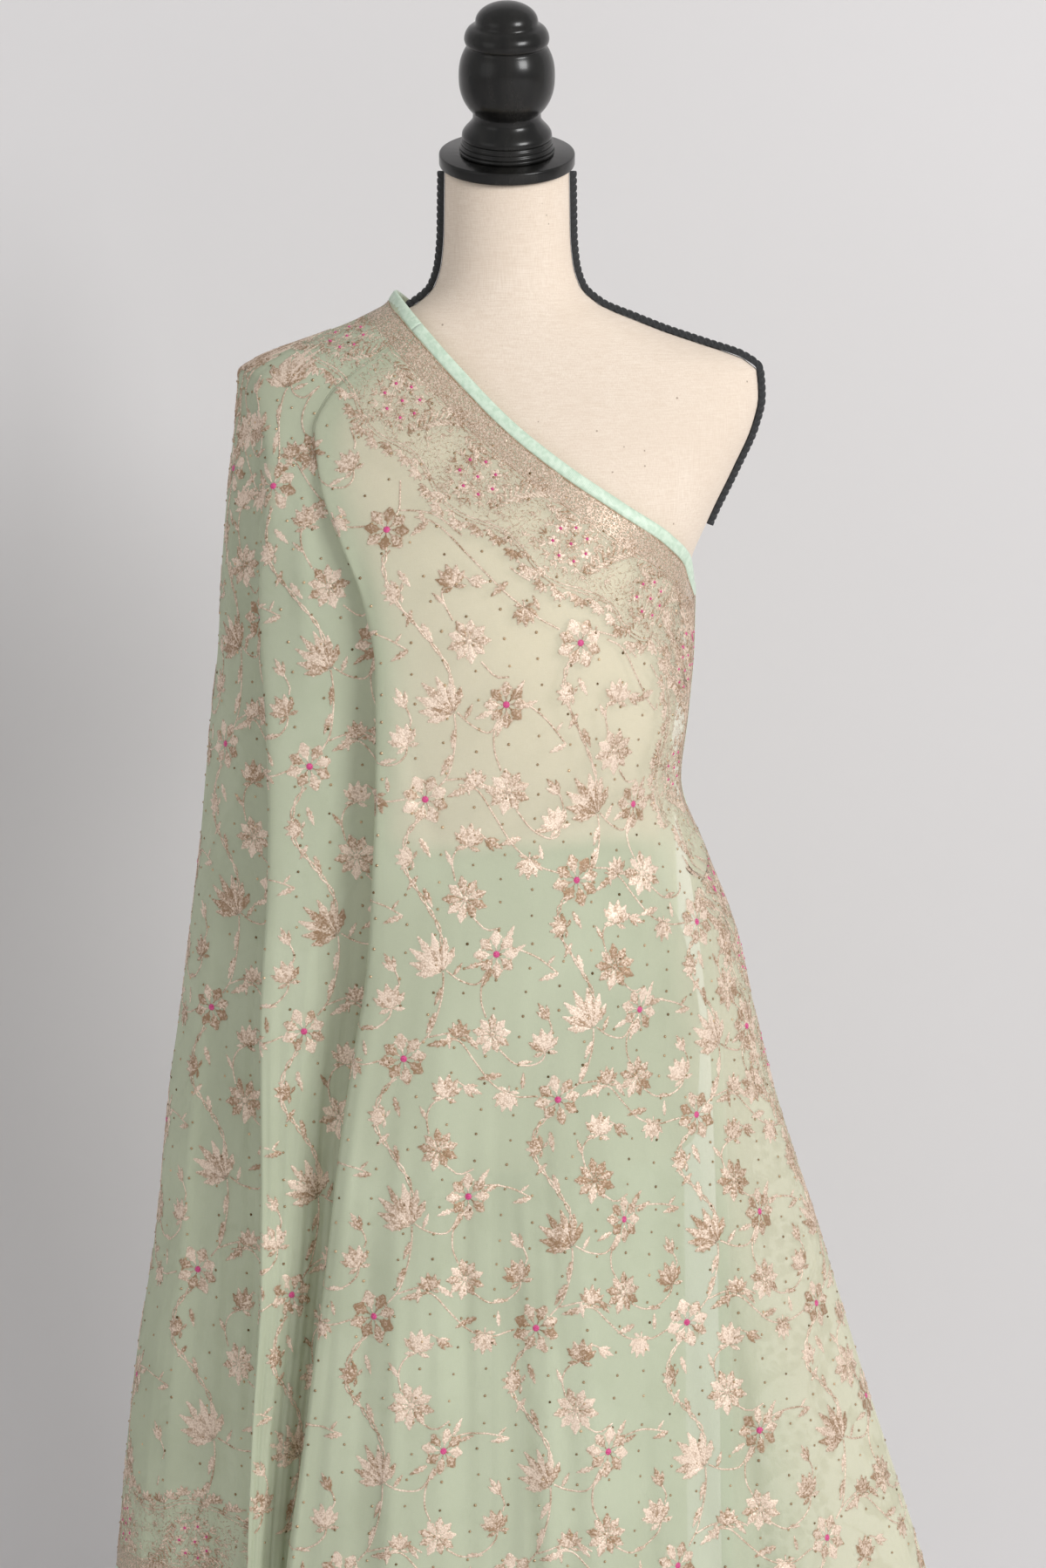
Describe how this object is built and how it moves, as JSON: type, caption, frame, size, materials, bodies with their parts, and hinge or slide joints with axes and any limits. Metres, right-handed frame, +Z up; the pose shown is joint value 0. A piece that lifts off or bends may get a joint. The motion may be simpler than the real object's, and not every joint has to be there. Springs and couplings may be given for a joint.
{
  "type": "georgette saree on a dress form",
  "caption": "Pale green embroidered georgette saree draped over one shoulder of a limbless linen dress form on a black stand.",
  "frame": {"origin": "centre of the base's underside, on the floor", "axes": "+Z up, +X to the viewer's right, the front of the saree faces -Y"},
  "size_m": [0.7366, 0.4094, 1.6444],
  "materials": {
    "georgette": "sheer crepe with metallic thread embroidery",
    "satin": "satin binding",
    "linen": "plain weave",
    "gimp": "corded braid",
    "black_wood": "satin lacquer"
  },
  "bodies": {
    "root": {"front_stretch": "georgette", "pleat_stretch": "georgette", "back_stretch": "georgette", "return_stretch": "georgette", "binding_front_top": "satin", "binding_shoulder_front": "satin", "binding_back_top": "satin", "binding_underarm": "satin", "binding_return_edge": "satin", "binding_hem_front": "satin", "binding_hem_pleat": "satin", "binding_hem_back": "satin", "binding_hem_return": "satin", "torso": "linen", "braid_left": "gimp", "braid_right": "gimp", "neck_disc": "black_wood", "neck_finial": "black_wood", "stand_pole": "black_wood", "base_disc": "black_wood"}
  },
  "joints": []
}
